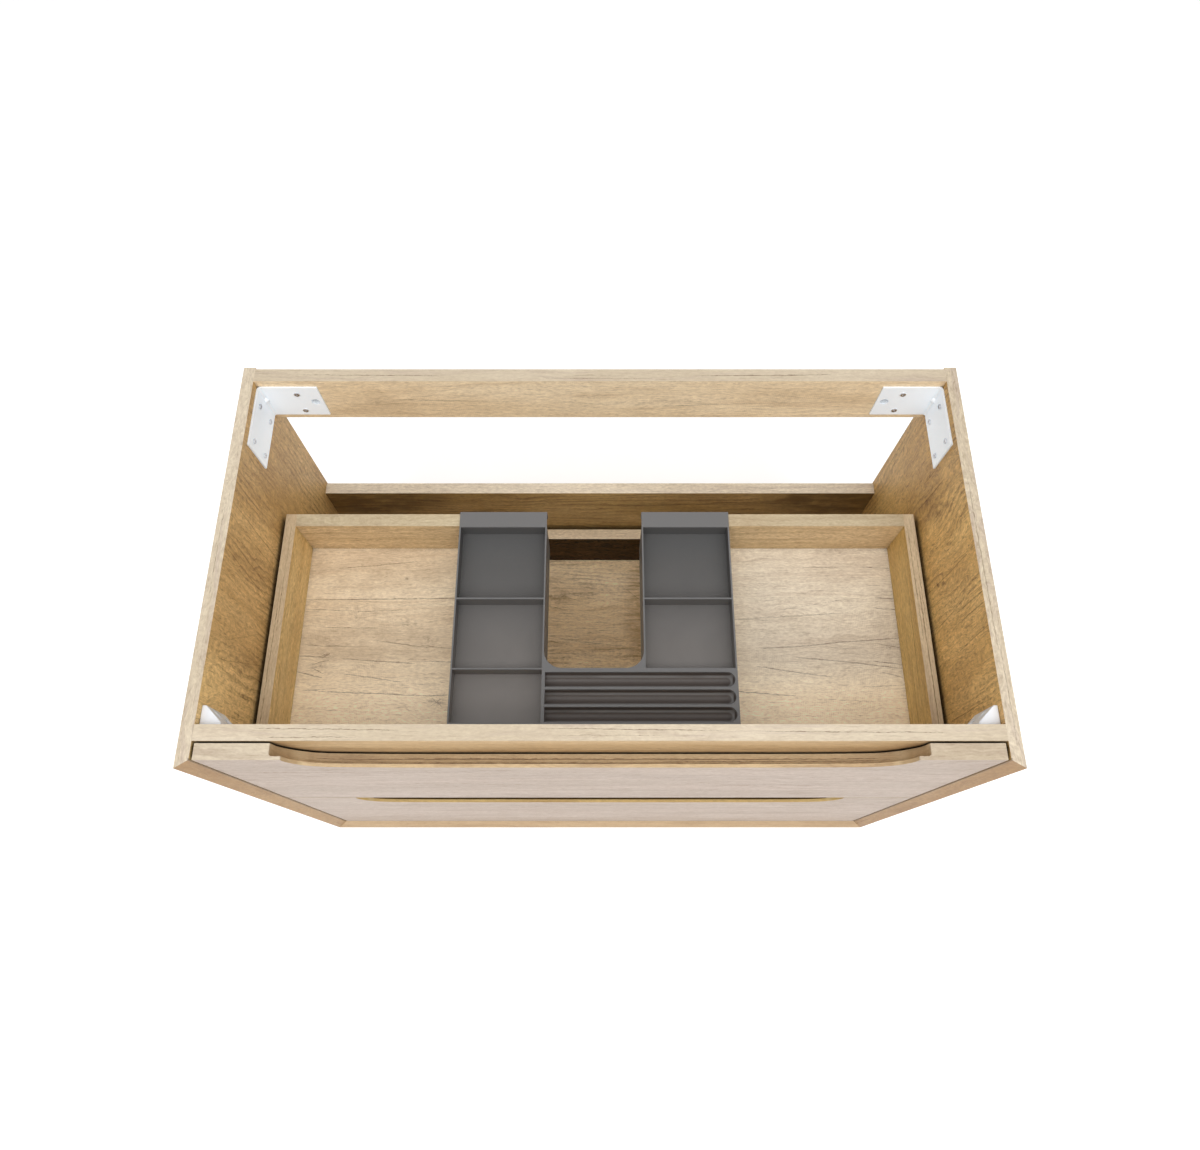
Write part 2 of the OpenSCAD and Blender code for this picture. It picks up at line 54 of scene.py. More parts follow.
class Graph:
    """A small builder for one material's node tree."""

    def __init__(self, name):
        self.mat = bpy.data.materials.new(name)
        self.mat.use_nodes = True
        self.tree = self.mat.node_tree
        self.tree.nodes.clear()
        self.out = self.node("ShaderNodeOutputMaterial")
        self.bsdf = self.node("ShaderNodeBsdfPrincipled")
        self.tree.links.new(self.bsdf.outputs["BSDF"], self.out.inputs["Surface"])
        self.coord = self.node("ShaderNodeTexCoord")

    def node(self, kind, **props):
        n = self.tree.nodes.new(kind)
        for k, v in props.items():
            setattr(n, k, v)
        return n

    def put(self, socket, value):
        if isinstance(value, bpy.types.NodeSocket):
            self.tree.links.new(value, socket)
        elif value is not None:
            socket.default_value = value

    def math(self, op, a, b=None, c=None, clamp=False):
        n = self.node("ShaderNodeMath", operation=op, use_clamp=clamp)
        for s, v in zip(n.inputs, (a, b, c)):
            self.put(s, v)
        return n.outputs[0]

    def add(self, *terms):
        total = terms[0]
        for t in terms[1:]:
            total = self.math("ADD", total, t)
        return total

    def sub(self, a, b):
        return self.math("SUBTRACT", a, b)

    def mul(self, *terms):
        total = terms[0]
        for t in terms[1:]:
            total = self.math("MULTIPLY", total, t)
        return total

    def mad(self, a, b, c):
        return self.math("MULTIPLY_ADD", a, b, c)

    def step(self, v, lo, hi, out_lo=0.0, out_hi=1.0):
        """Smooth ramp from out_lo at lo to out_hi at hi."""
        n = self.node("ShaderNodeMapRange", interpolation_type="SMOOTHSTEP", clamp=True)
        self.put(n.inputs["Value"], v)
        n.inputs["From Min"].default_value = lo
        n.inputs["From Max"].default_value = hi
        n.inputs["To Min"].default_value = out_lo
        n.inputs["To Max"].default_value = out_hi
        return n.outputs["Result"]

    def xyz(self, x, y, z=0.0):
        n = self.node("ShaderNodeCombineXYZ")
        for s, v in zip(n.inputs, (x, y, z)):
            self.put(s, v)
        return n.outputs[0]

    def split(self, v):
        n = self.node("ShaderNodeSeparateXYZ")
        self.put(n.inputs[0], v)
        return n.outputs[0], n.outputs[1], n.outputs[2]

    def noise(self, v, scale=1.0, detail=2.0, rough=0.5, distortion=0.0):
        n = self.node("ShaderNodeTexNoise", noise_dimensions="3D")
        self.put(n.inputs["Vector"], v)
        n.inputs["Scale"].default_value = scale
        n.inputs["Detail"].default_value = detail
        n.inputs["Roughness"].default_value = rough
        n.inputs["Distortion"].default_value = distortion
        return n.outputs["Fac"]

    def rand(self, v):
        n = self.node("ShaderNodeTexWhiteNoise", noise_dimensions="2D")
        self.put(n.inputs["Vector"], v)
        return self.split(n.outputs["Color"])

    def mixf(self, fac, a, b):
        n = self.node("ShaderNodeMix", data_type="FLOAT")
        self.put(n.inputs[0], fac)
        self.put(n.inputs[2], a)
        self.put(n.inputs[3], b)
        return n.outputs[0]

    def mixc(self, fac, a, b, free=False):
        n = self.node("ShaderNodeMix", data_type="RGBA", clamp_factor=not free)
        self.put(n.inputs[0], fac)
        self.put(n.inputs[6], a)
        self.put(n.inputs[7], b)
        return n.outputs[2]

    def bump(self, height, distance, strength=1.0, normal=None):
        n = self.node("ShaderNodeBump")
        n.inputs["Strength"].default_value = strength
        n.inputs["Distance"].default_value = distance
        self.put(n.inputs["Height"], height)
        self.put(n.inputs["Normal"], normal)
        return n.outputs[0]

    def mm(self):
        """Object coordinates in millimetres, with y counted from 1 mm behind the middle of the depth."""
        n = self.node("ShaderNodeVectorMath", operation="MULTIPLY_ADD")
        self.put(n.inputs[0], self.coord.outputs["Object"])
        n.inputs[1].default_value = (1000.0, 1000.0, 1000.0)
        n.inputs[2].default_value = (0.0, -1.0, 0.0)
        return self.split(n.outputs[0])

    def finish(self, color, rough, normal=None, **consts):
        self.put(self.bsdf.inputs["Base Color"], color)
        self.put(self.bsdf.inputs["Roughness"], rough)
        self.put(self.bsdf.inputs["Normal"], normal)
        for k, v in consts.items():
            self.bsdf.inputs[k.replace("_", " ")].default_value = v
        return self.mat


def crack_group():
    """Node group: one long drying crack from (u0, v0) that runs du along the grain and dv across it."""
    g = bpy.data.node_groups.new("crack_line", "ShaderNodeTree")
    for name in ("u", "v", "wander", "fray", "u0", "v0", "du", "dv", "width", "wave"):
        g.interface.new_socket(name, in_out="INPUT", socket_type="NodeSocketFloat")
    g.interface.new_socket("mask", in_out="OUTPUT", socket_type="NodeSocketFloat")
    gi = g.nodes.new("NodeGroupInput")
    go = g.nodes.new("NodeGroupOutput")
    i = {s.name: s for s in gi.outputs}

    def m(op, a, b=None, c=None):
        n = g.nodes.new("ShaderNodeMath")
        n.operation = op
        for s, v in zip(n.inputs, (a, b, c)):
            if isinstance(v, bpy.types.NodeSocket):
                g.links.new(v, s)
            elif v is not None:
                s.default_value = v
        return n.outputs[0]

    t = m("DIVIDE", m("SUBTRACT", i["u"], i["u0"]), i["du"])
    line = m("ADD", m("MULTIPLY_ADD", t, i["dv"], i["v0"]), m("MULTIPLY", i["wander"], i["wave"]))
    line = m("ADD", line, m("MULTIPLY_ADD", i["fray"], 2.6, -1.3))
    d = m("ABSOLUTE", m("SUBTRACT", i["v"], line))
    # the crack is widest in its middle and thins out to both ends
    env = m("MULTIPLY", m("MULTIPLY", t, m("SUBTRACT", 1.0, t)), 4.0)
    env = m("POWER", m("MAXIMUM", env, 0.0), 0.45)
    w = m("MULTIPLY", m("MULTIPLY", i["width"], env), m("MULTIPLY_ADD", i["fray"], 1.1, 0.35))
    w = m("MAXIMUM", w, 0.0001)
    mask = m("SUBTRACT", 1.0, m("MINIMUM", m("DIVIDE", d, w), 1.0))
    mask = m("POWER", mask, 0.7)
    inside = m("MULTIPLY", m("GREATER_THAN", t, 0.0), m("LESS_THAN", t, 1.0))
    g.links.new(m("MULTIPLY", mask, inside), go.inputs[0])
    return g


CRACK = crack_group()

# colours of the decor, and two palettes of painted shade, as light, middle and streak
PALE = (lin(224, 208, 180), lin(213, 194, 164), lin(194, 172, 144))
FLOOR = (lin(231, 213, 184), lin(223, 203, 173), lin(207, 182, 150))
LOWER = (lin(255, 230, 190), lin(246, 218, 174), lin(200, 162, 108))
GOLD = (lin(220, 182, 122), lin(207, 167, 107), lin(182, 140, 84))
GOLD_RIGHT = (lin(227, 188, 122), lin(214, 172, 106), lin(188, 145, 83))
WARM = (lin(226, 200, 158), lin(214, 186, 142), lin(194, 162, 118))
RAIL = (lin(245, 224, 190), lin(236, 212, 175), lin(216, 188, 150))
RAIL_FRONT = (lin(208, 179, 137), lin(190, 158, 115), lin(172, 138, 94))
WALL = (lin(226, 196, 135), lin(216, 183, 122), lin(195, 159, 98))
WALL_RIGHT = (lin(208, 174, 106), lin(198, 162, 96), lin(178, 140, 78))
BACK = (lin(211, 185, 144), lin(201, 174, 131), lin(179, 150, 108))
DEEP = (lin(198, 164, 108), lin(184, 150, 92), lin(126, 98, 54))
# painted shade in the routed pocket of a drawer front
RECESS_SHADE = (lin(98, 76, 40), lin(88, 66, 32), lin(72, 52, 25))
FRONT = (lin(178, 160, 145), lin(169, 151, 135), lin(157, 136, 120))
BAND = (lin(211, 196, 173), lin(200, 184, 159), lin(180, 161, 148))
FRONT_BAND = (lin(203, 188, 165), lin(193, 176, 151), lin(165, 144, 124))
BOX_BAND = (lin(210, 191, 160), lin(199, 178, 146), lin(178, 152, 128))
BACK_BAND = (lin(193, 178, 148), lin(183, 165, 135), lin(162, 142, 116))
# painted shade for the lower drawer's back wall inside the closed cabinet
CLOSED_CABINET_SHADE = (lin(62, 41, 8), lin(52, 33, 5), lin(38, 24, 3))
FLOOR_BAND = (lin(228, 210, 182), lin(216, 196, 166), lin(184, 160, 130))
LOW_BAND = (lin(234, 219, 195), lin(225, 208, 183), lin(204, 184, 164))
BEVEL = (lin(168, 133, 88), lin(158, 122, 77), lin(139, 103, 63))
BEVEL_LOW = (lin(194, 166, 130), lin(184, 155, 120), lin(164, 134, 100))
LIP = (lin(197, 173, 136), lin(184, 158, 121), lin(140, 112, 86))
LIP_LOW = (lin(212, 184, 124), lin(202, 170, 110), lin(168, 134, 86))
DARK = lin(84, 53, 28)


def oak(name, thick, grain, seed, plus, minus, band=BAND, cracks=(), knots=(), stains_and_shadows=(), band_cracks=(),
        ring=0.085, ring_amount=0.16, contrast=1.0, lanes=1.0, saw=1.0, hair=1.0, swirl=1.0, grit=1.0, depth_of_cracks=0.76, front_band=None, low_band=None,
        closed=None, fold=None, shade_when_closed=None, gloss=0.4, tint_and_light_ramps=(), tones_plus=True):
    """Light oak decor on one board.
    thick is the axis through the board, grain the axis of the grain on its two faces.
    plus and minus are the palettes of the faces that look along +thick and -thick, band that of the edges.
    cracks are (u0, v0, u1, v1, width, wave) in mm on the faces, band_cracks the same on the edges,
    knots are (u, v, half length, half width, strength) in mm, stains the same for soft darker patches, some of them
    painted shadow."""
    g = Graph(name)
    p = dict(zip("xyz", g.mm()))
    n = dict(zip("xyz", g.split(g.coord.outputs["Normal"])))
    a, b = [k for k in "xyz" if k != thick]
    other = b if grain == a else a
    absn = {k: g.math("ABSOLUTE", n[k]) for k in "xyz"}
    face = g.step(absn[thick], 0.66, 0.76)
    ends = g.math("GREATER_THAN", absn[a], absn[b])
    edge_u = g.mixf(ends, p[a], p[b])
    u = g.mixf(face, edge_u, p[grain])
    v = g.mixf(face, p[thick], p[other])
    depth = g.mul(p[thick], 0.011)
    so = seed * 7.31

    def vec(fu, fv, k):
        return g.xyz(g.mad(u, fu, so + k * 3.7), g.mad(v, fv, so * 0.6 - k * 1.9), g.add(depth, k * 0.77 + so))

    # knots bend the growth rings round themselves and darken their middle
    knot_pull = None
    knot_dark = None
    kn = g.noise(vec(0.24, 0.34, 9), 1.0, 4.0, 0.7)
    for ku, kv, ka, kb, ks in knots:
        du = g.mul(g.sub(u, ku), 1.0 / ka)
        dv = g.mul(g.sub(v, kv), 1.0 / kb)
        r2 = g.add(g.mul(du, du), g.mul(dv, dv))
        pull = g.mul(g.math("DIVIDE", ks, g.add(g.mul(r2, 0.22), 1.0)), face)
        core = g.math("DIVIDE", ks, g.add(g.math("POWER", g.mul(r2, 2.0), 1.6), 1.0))
        core = g.mul(core, g.step(kn, 0.42, 0.64, 0.12, 1.0), face)
        knot_pull = pull if knot_pull is None else g.add(knot_pull, pull)
        knot_dark = core if knot_dark is None else g.math("MAXIMUM", knot_dark, core)

    # domain warp, growth rings
    warp = g.noise(vec(0.0045, 0.012, 1), 1.0, 2.0, 0.45)
    warp2 = g.noise(vec(0.021, 0.055, 2), 1.0, 3.0, 0.55)
    jitter = g.noise(vec(0.14, 0.22, 13), 1.0, 2.0, 0.6)
    field = g.add(g.mul(v, ring), g.mul(g.sub(warp, 0.5), 7.5), g.mul(g.sub(warp2, 0.5), 1.1), g.mul(g.sub(jitter, 0.5), 0.35))
    if knot_pull is not None:
        field = g.add(field, g.mul(knot_pull, 3.0))
    saw_t = g.math("FRACT", field)
    ringline = g.mul(g.step(saw_t, 0.35, 0.93), g.step(saw_t, 0.93, 1.0, 1.0, 0.0))
    ring_mask = g.step(g.noise(vec(0.006, 0.02, 3), 1.0, 2.0, 0.5), 0.4, 0.66, 0.08, 1.0)
    ringline = g.mul(ringline, ring_mask, g.mixf(face, 0.35, 1.0))
    fine_t = g.math("FRACT", g.mul(field, 3.7))
    fineline = g.mul(g.step(fine_t, 0.5, 0.95), g.step(fine_t, 0.95, 1.0, 1.0, 0.0), ring_mask)

    # tone bands along the grain, then fibres, pores and the small mottle of the embossed sheet, which wander
    # with the growth rings instead of running dead straight
    bent = g.add(v, g.mul(g.sub(warp2, 0.5), 13.0 * swirl), g.mul(g.sub(warp, 0.5), 26.0 * swirl))
    if knot_pull is not None:
        bent = g.add(bent, g.mul(knot_pull, 5.0))

    def bvec(fu, fv, k):
        return g.xyz(g.mad(u, fu, so + k * 3.7), g.mad(bent, fv, so * 0.6 - k * 1.9), g.add(depth, k * 0.77 + so))

    broad = g.noise(vec(0.0035, 0.021, 4), 1.0, 3.0, 0.5)
    streak = g.noise(bvec(0.006, 0.11, 5), 1.0, 4.0, 0.62)
    fibre = g.noise(bvec(0.030, 0.42, 6), 1.0, 5.0, 0.76)
    pores = g.noise(bvec(0.10, 1.0, 7), 1.0, 2.0, 0.5)
    pores = g.step(pores, 0.56, 0.70)
    ripple = g.noise(bvec(0.15, 0.30, 8), 1.0, 5.0, 0.78)
    mottle = g.noise(bvec(0.035, 0.07, 14), 1.0, 4.0, 0.62)
    grain_dots = g.noise(bvec(0.17, 0.60, 15), 1.0, 2.0, 0.65)

    # faint saw marks across the grain, in patches
    patch = g.step(g.noise(vec(0.011, 0.016, 10), 1.0, 2.0, 0.5), 0.50, 0.64)
    comb = g.math("SINE", g.add(g.mul(u, 2.9), g.mul(warp2, 7.0)))
    comb = g.mul(comb, patch, face, g.step(fibre, 0.35, 0.6))

    # drying cracks and hair lines, scattered in lanes across the board
    wander = g.mul(g.sub(g.noise(vec(0.013, 0.006, 11), 1.0, 3.0, 0.6), 0.5), 2.0)
    fray = g.noise(vec(0.11, 0.5, 12), 1.0, 3.0, 0.65)

    def lines(pitch, length, chance, w0, w1, k):
        lane_v = g.mad(v, 1.0 / pitch, g.mul(wander, 5.5 / pitch))
        lane = g.math("FLOOR", lane_v)
        lane_f = g.math("FRACT", lane_v)
        shift = g.rand(g.xyz(lane, so + k))[0]
        seg_u = g.mad(u, 1.0 / length, g.mul(shift, 7.0))
        seg = g.math("FLOOR", seg_u)
        seg_f = g.math("FRACT", seg_u)
        r1, r2, r3 = g.rand(g.xyz(g.add(lane, so), g.add(seg, 3.5 + so + k)))
        spot = g.add(0.2, g.mul(r1, 0.55), g.mul(g.sub(fray, 0.5), 1.1 / pitch))
        dist = g.math("ABSOLUTE", g.sub(lane_f, spot))
        taper = g.mul(g.step(seg_f, 0.04, 0.4), g.step(seg_f, 0.5, 0.96, 1.0, 0.0))
        wide = g.mul(taper, g.mad(r3, (w1 - w0) / pitch, w0 / pitch))
        line = g.step(g.math("DIVIDE", dist, g.math("MAXIMUM", wide, 0.0002)), 0.1, 1.0, 1.0, 0.0)
        return g.mul(line, g.math("GREATER_THAN", r2, 1.0 - chance), g.step(fray, 0.38, 0.58, 0.15, 1.0))

    lane_crack = lines(17.0, 96.0, 0.22, 0.30, 0.75, 0.5)
    hair_line = lines(4.7, 46.0, 0.5, 0.40, 0.85, 2.5)

    # the long cracks, each laid along its own line
    long_crack = None
    for group, where in ((cracks, face), (band_cracks, g.sub(1.0, face))):
        for u0, v0, u1, v1, width, wave in group:
            c = g.node("ShaderNodeGroup")
            c.node_tree = CRACK
            vals = {"u": u, "v": v, "wander": wander, "fray": fray, "u0": u0, "v0": v0, "du": u1 - u0,
                    "dv": v1 - v0, "width": width, "wave": wave}
            for k, x in vals.items():
                g.put(c.inputs[k], x)
            m = g.mul(c.outputs[0], where)
            long_crack = m if long_crack is None else g.math("MAXIMUM", long_crack, m)

    # soft darker patches: stains, and where listed a painted shadow
    stain_and_shadow = None
    for su, sv, sa, sb, ss in stains_and_shadows:
        du = g.mul(g.sub(u, su), 1.0 / sa)
        dv = g.mul(g.add(g.sub(v, sv), g.mul(wander, 2.5)), 1.0 / sb)
        r2 = g.add(g.mul(du, du), g.mul(dv, dv))
        q = g.mul(g.step(r2, 0.25, 1.25, ss, 0.0), g.step(mottle, 0.28, 0.62, 0.45, 1.0), face)
        stain_and_shadow = q if stain_and_shadow is None else g.math("MAXIMUM", stain_and_shadow, q)

    # colour
    side = g.math("GREATER_THAN", n[thick], 0.0)

    def palette(pal):
        col = g.mixc(g.step(broad, 0.34, 0.66), pal[0], pal[1])
        col = g.mixc(g.mul(g.step(streak, 0.48, 0.70), 0.5), col, pal[2])
        return col if stain_and_shadow is None else g.mixc(stain_and_shadow, col, tuple(c * 0.82 for c in pal[2][:3]) + (1.0,))

    col_plus = palette(plus)
    col_minus = palette(minus)
    if shade_when_closed is not None:
        # painted shade: the face takes a dark brown where wide ambient occlusion finds it shut in the closed cabinet,
        # and the first palette given where the drawer is out
        wide = g.node("ShaderNodeAmbientOcclusion", samples=16)
        wide.inputs["Distance"].default_value = shade_when_closed[1]
        col_minus = g.mixc(g.step(wide.outputs["AO"], shade_when_closed[2], shade_when_closed[3]), col_minus, palette(shade_when_closed[0]))
    col = col_plus if minus is plus else g.mixc(side, col_minus, col_plus)
    col_band = palette(band)
    if front_band is not None:
        rear = g.math("GREATER_THAN", absn[front_band[0]], 0.5)
        col_band = g.mixc(rear, col_band, palette(front_band[1]))
    if low_band is not None:
        # edges between the levels low_band[0] and [1], away from the board's ends: the routed rim and pocket
        rim = g.mul(g.math("LESS_THAN", p["z"], low_band[1]), g.math("GREATER_THAN", p["z"], low_band[0]),
                    g.math("LESS_THAN", g.math("ABSOLUTE", p["x"]), 330.0))
        col_band = g.mixc(rim, col_band, palette(low_band[2]))
        # painted shade: the pocket below low_band[3] is darkened towards a dark brown by low_band[4]
        pocket = g.mul(rim, g.math("LESS_THAN", p["z"], low_band[3]))
        col_band = g.mixc(g.mul(pocket, low_band[4]), col_band, palette(RECESS_SHADE))
    col = g.mixc(face, col_band, col)
    # slow ramps of tint along a board, mostly painted light and shade: (axis, from, to, amount there, amount here,
    # tint) on the face in use
    used = g.mul(side if tones_plus else g.sub(1.0, side), face) if tint_and_light_ramps else None
    for along, lo, hi, at_lo, at_hi, tint in tint_and_light_ramps:
        col = g.mixc(g.mul(g.step(u if along == "u" else v, lo, hi, at_lo, at_hi), used), col, tint)
    weight = g.mixf(face, 0.6, 1.0)
    soft = g.add(g.mul(ringline, ring_amount), g.mul(fineline, 0.06), g.mul(g.sub(fibre, 0.5), 0.62),
                 g.mul(g.sub(pores, 0.15), 0.16), g.mul(g.sub(ripple, 0.5), 0.56 * grit), g.mul(g.sub(mottle, 0.5), 0.26),
                 g.mul(g.sub(grain_dots, 0.5), 0.78 * grit),
                 g.mul(comb, 0.045 * saw), g.mul(hair_line, 0.32 * hair))
    soft = g.mul(soft, weight, contrast)
    col = g.mixc(soft, col, lin(116, 82, 50), free=True)
    marks = g.mul(lane_crack, weight, 0.5 * lanes)
    if long_crack is not None:
        marks = g.math("MAXIMUM", marks, g.mul(long_crack, depth_of_cracks))
    if knot_dark is not None:
        marks = g.math("MAXIMUM", marks, g.mul(knot_dark, 0.78))
    col = g.mixc(marks, col, DARK)
    # painted shade: seams, slits and inside corners darkened towards near black by short-range ambient occlusion
    ao = g.node("ShaderNodeAmbientOcclusion", samples=4)
    ao.inputs["Distance"].default_value = 0.013
    painted_gap_shade = g.step(ao.outputs["AO"], 0.11, 0.37, 0.97, 0.0)
    if closed is not None:
        # the stretch of the edge where two boards nearly touch gets none of this painted gap shade
        off = g.math("ABSOLUTE", p["x"])
        painted_gap_shade = g.mul(painted_gap_shade, g.sub(1.0, g.mul(g.math("GREATER_THAN", off, closed[0]), g.math("LESS_THAN", off, closed[1]))))
    # painted highlight: the rounded arrises made paler, in patches
    top = g.math("MAXIMUM", g.math("MAXIMUM", absn["x"], absn["y"]), absn["z"])
    arris = g.mul(g.step(top, 0.73, 0.84, 1.0, 0.0), g.step(ripple, 0.3, 0.6, 0.45, 1.0))
    col = g.mixc(g.mul(arris, 0.35), col, lin(228, 210, 172))
    # the painted gap shade, a near-black brown
    col = g.mixc(painted_gap_shade, col, lin(12, 6, 3))
    if fold is not None:
        # glue line where the panel's face meets its bevel
        glue = g.mul(g.math("LESS_THAN", p["y"], fold[0]), g.math("LESS_THAN", g.math("ABSOLUTE", p["x"]), fold[1]))
        col = g.mixc(g.mul(glue, g.step(ripple, 0.25, 0.6, 0.8, 0.5)), col, lin(84, 66, 50))

    rough = g.add(0.47, g.mul(g.sub(fibre, 0.5), 0.3), g.mul(marks, 0.25), g.mul(ringline, 0.06), g.mul(g.sub(ripple, 0.5), 0.15))
    height = g.sub(g.mul(g.sub(1.0, fibre), 0.45), g.add(g.mul(pores, 0.4), g.mul(lane_crack, 1.2), g.mul(comb, 0.12),
                                                       g.mul(ripple, 0.35), g.mul(hair_line, 0.4)))
    normal = g.bump(height, 0.00025, 0.6)
    g.finish(col, rough, normal, Specular_IOR_Level=gloss)
    return g.mat


def plastic(name, base, shade, rough=0.46, grain=1.6, bump=0.00006, strength=0.5, edge=None, far=None, zones=(), corner=None, **consts):
    """Moulded plastic: fine spark-eroded texture, slight flow shading, arrises painted paler as a highlight."""
    g = Graph(name)
    x, y, z = g.mm()
    v = g.xyz(x, y, z)
    flow = g.noise(v, 0.012, 3.0, 0.5, 0.6)
    fine = g.noise(v, grain, 2.0, 0.6)
    dots = g.noise(v, grain * 2.7, 1.0, 0.5)
    col = g.mixc(g.step(flow, 0.3, 0.7), base, shade)
    if far is not None:
        col = g.mixc(g.step(g.add(y, g.mul(flow, 40.0)), -150.0, 105.0), col, far)
    # zones with their own shade: (low corner, high corner, colour), faded in over a few millimetres
    for low, high, tint in zones:
        inside = None
        for axis, lo, hi in zip((x, y, z), low, high):
            part = g.mul(g.step(axis, lo, lo + 2.0), g.step(axis, hi - 2.0, hi, 1.0, 0.0))
            inside = part if inside is None else g.mul(inside, part)
        col = g.mixc(inside, col, tint)
    col = g.mixc(g.mul(g.step(fine, 0.35, 0.7), 0.14), col, tuple(c * 0.7 for c in base[:3]) + (1.0,))
    nx, ny, nz = [g.math("ABSOLUTE", k) for k in g.split(g.coord.outputs["Normal"])]
    top = g.math("MAXIMUM", g.math("MAXIMUM", nx, ny), nz)
    # painted highlight: the arrises made paler, in patches
    if edge is not None:
        arris = g.mul(g.step(top, 0.74, 0.9, 1.0, 0.0), g.step(flow, 0.2, 0.6, 0.5, 1.0))
        col = g.mixc(g.mul(arris, 0.6), col, edge)
    # painted shade: holes and inside corners darkened by short-range ambient occlusion
    if corner is not None:
        ao = g.node("ShaderNodeAmbientOcclusion", samples=4)
        ao.inputs["Distance"].default_value = 0.011
        col = g.mixc(g.step(ao.outputs["AO"], 0.12, 0.55, 0.85, 0.0), col, corner)
    r = g.add(rough, g.mul(g.sub(fine, 0.5), 0.16), g.mul(g.sub(flow, 0.5), 0.08))
    normal = g.bump(g.add(fine, g.mul(dots, 0.5)), bump, strength)
    return g.finish(col, r, normal, **consts)


def metal(name, base, shade, rough=0.34, streak=(0.02, 0.9, 0.9), spangle=0.0, metallic=1.0):
    """Plated or galvanised sheet: rolled streaks, cloudy zinc and, where asked, spangle."""
    g = Graph(name)
    x, y, z = g.mm()
    rolled = g.noise(g.xyz(g.mul(x, streak[0]), g.mul(y, streak[1]), g.mul(z, streak[2])), 1.0, 3.0, 0.6)
    cloud = g.noise(g.xyz(x, y, z), 0.07, 3.0, 0.55)
    vo = g.node("ShaderNodeTexVoronoi")
    g.put(vo.inputs["Vector"], g.xyz(x, y, z))
    vo.inputs["Scale"].default_value = 0.16
    cell = g.split(vo.outputs["Color"])[0]
    col = g.mixc(g.step(cloud, 0.3, 0.7), base, shade)
    col = g.mixc(g.mul(g.step(rolled, 0.45, 0.75), 0.35), col, shade)
    if spangle:
        col = g.mixc(g.mul(cell, spangle), col, tuple(min(1.0, c * 1.25) for c in base[:3]) + (1.0,))
    r = g.add(rough, g.mul(g.sub(rolled, 0.5), 0.25), g.mul(g.sub(cell, 0.5), spangle * 0.4))
    normal = g.bump(rolled, 0.00003, 0.5)
    return g.finish(col, r, normal, Metallic=metallic)


# ---------------------------------------------------------------- materials by board

floor_cracks = (
    (-372, 18.3, -160, 20.6, 0.95, 1.6), (-333, 61.2, -228, 70.9, 0.75, 1.5), (-344, -18.2, -275, -18.9, 0.6, 1.5),
    (-364, -42.3, -305, -42.3, 0.8, 2.5), (-276, -35.2, -211, -44.2, 0.8, 2.5), (-221, -41.0, -179, -46.2, 0.6, 2.0),
    (-318, -58.3, -226, -64.7, 0.85, 1.8), (-208, -61.5, -166, -63.8, 0.8, 1.0), (-346, -99.2, -204, -105.4, 0.8, 1.6),
    (-211, -105.4, -181, -104.2, 0.8, 1.0), (-370, -74.8, -337, -83.0, 1.0, 1.5), (-318, -76.7, -240, -88.0, 0.65, 2.0),
    (-370, -55.1, -330, -57.1, 0.8, 1.5), (-368, 6.2, -305, 3.6, 0.5, 1.5), (-312, 2.2, -240, 4.9, 0.45, 1.5),
    (-359, -99.2, -338, -98.0, 0.6, 1.0), (-352, -66.0, -330, -60.0, 0.7, 0.6), (-352, -70.0, -336, -78.0, 0.7, 0.6),
    (196, -46.4, 373, -31.6, 0.95, 1.8), (236, -56.0, 370, -70.6, 0.9, 2.0), (190, -68.3, 282, -82.2, 0.75, 1.5),
    (156, -99.3, 236, -105.4, 0.8, 1.2), (162, -7.9, 312, 1.2, 0.5, 2.0), (334, -61.5, 370, -66.0, 0.9, 1.2),
    (332, 63.3, 368, 61.2, 0.7, 1.0), (346, 21.0, 373, 19.6, 0.8, 1.0), (340, 7.6, 373, 4.9, 0.7, 1.2),
    (342, -39.7, 371, -44.9, 0.7, 1.2), (336, 38.6, 354, 37.2, 0.6, 0.8), (343, -75.5, 368, -81.8, 0.7, 1.0),
    (218, 3.6, 303, 18.3, 0.35, 2.0), (-130, -140, 20, -136, 0.7, 2.0),
    (-207, -112.5, -186, -113.5, 0.7, 0.4), (-204, -118.5, -189, -107.5, 0.6, 0.4), (-203, -107.5, -189, -119, 0.6, 0.4),
    (-341, -58, -331, -52.5, 0.9, 0.4))
floor_knots = ((-336, -55, 8, 4, 1.0), (-345, -68, 13, 6, 0.7), (-196, -113, 11, 7, 0.85), (-212, -35, 12, 7, 0.45), (-238, -14, 14, 6, 0.5),
               (-245, 47, 3, 2, 0.8), (-352, -119, 9, 6, 0.25), (356, -43, 12, 5, 0.5), (-304, -3, 1.6, 6, 0.6))
floor_stains = ((-280, 75, 130, 50, 0.5), (300, 85, 130, 40, 0.3), (-290, -40, 120, 26, 0.55), (-345, -22, 60, 30, 0.12), (365, -20, 30, 70, 0.3), (-70, 20, 90, 60, 0.2), (290, -42, 120, 26, 0.2))

M = {}
